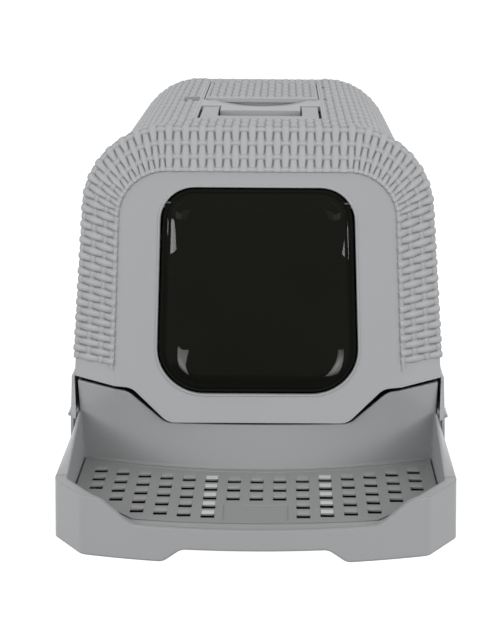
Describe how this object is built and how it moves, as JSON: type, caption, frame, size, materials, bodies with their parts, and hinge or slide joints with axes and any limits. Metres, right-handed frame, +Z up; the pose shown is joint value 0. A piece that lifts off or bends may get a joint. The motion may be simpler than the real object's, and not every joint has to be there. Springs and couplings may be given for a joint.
{
  "type": "hooded litter box",
  "caption": "Hooded litter box with a woven-look cover, smoked swing flap, carry handle, top hatch and a pull-out pan whose front step carries a slotted grate.",
  "frame": {"origin": "on the floor, under the middle of the whole box", "axes": "+Z up; -Y towards the door and the step; +X to the right, seen from in front of the door"},
  "size_m": [0.404, 0.59, 0.3935],
  "materials": {
    "woven_cover": "matt with a moulded weave",
    "base_plastic": "satin",
    "drawer_plastic": "satin gloss",
    "grate_plastic": "satin gloss",
    "smoked_plastic": "smoked, see-through, polished",
    "trim_plastic": "satin gloss",
    "pin_steel": "plain"
  },
  "bodies": {
    "shell": {"base_shell": "base_plastic", "hood_shell": "woven_cover", "top_frame": "trim_plastic", "latch_pins": "pin_steel"},
    "drawer": {"drawer_pan": "drawer_plastic", "drawer_front": "drawer_plastic"},
    "grate": {"step_grate": "grate_plastic"},
    "door": {"door_flap": "smoked_plastic", "door_pins": "pin_steel"},
    "handle": {"carry_handle": "trim_plastic", "handle_pins": "pin_steel"},
    "hatch": {"hatch_lid": "woven_cover", "hatch_pins": "pin_steel"},
    "clip_front_left": {"latch_front_left": "trim_plastic"},
    "clip_front_right": {"latch_front_right": "trim_plastic"},
    "clip_rear_left": {"latch_rear_left": "trim_plastic"},
    "clip_rear_right": {"latch_rear_right": "trim_plastic"}
  },
  "joints": [
    {"name": "drawer_slide", "type": "slide", "parent": "shell", "child": "drawer", "axis": [0, -1, 0], "range_m": [0, 0.36]},
    {"name": "grate_lift", "type": "slide", "parent": "drawer", "child": "grate", "axis": [0, -0.2756, 0.9613], "range_m": [0, 0.12]},
    {"name": "door_swing", "type": "hinge", "parent": "shell", "child": "door", "pos_m": [0, -0.14225, 0.3218], "axis": [1, 0, 0], "range_deg": [-80, 80]},
    {"name": "handle_fold", "type": "hinge", "parent": "shell", "child": "handle", "pos_m": [0, 0.0285, 0.388], "axis": [-1, 0, 0], "range_deg": [0, 90]},
    {"name": "hatch_hinge", "type": "hinge", "parent": "shell", "child": "hatch", "pos_m": [0, 0.233, 0.3895], "axis": [-1, 0, 0], "range_deg": [0, 105]},
    {"name": "clip_front_left_hinge", "type": "hinge", "parent": "shell", "child": "clip_front_left", "pos_m": [-0.1957, -0.1065, 0.044], "axis": [0, -1, 0], "range_deg": [0, 95]},
    {"name": "clip_front_right_hinge", "type": "hinge", "parent": "shell", "child": "clip_front_right", "pos_m": [0.1957, -0.1065, 0.044], "axis": [0, 1, 0], "range_deg": [0, 95]},
    {"name": "clip_rear_left_hinge", "type": "hinge", "parent": "shell", "child": "clip_rear_left", "pos_m": [-0.1957, 0.2135, 0.044], "axis": [0, -1, 0], "range_deg": [0, 95]},
    {"name": "clip_rear_right_hinge", "type": "hinge", "parent": "shell", "child": "clip_rear_right", "pos_m": [0.1957, 0.2135, 0.044], "axis": [0, 1, 0], "range_deg": [0, 95]}
  ]
}
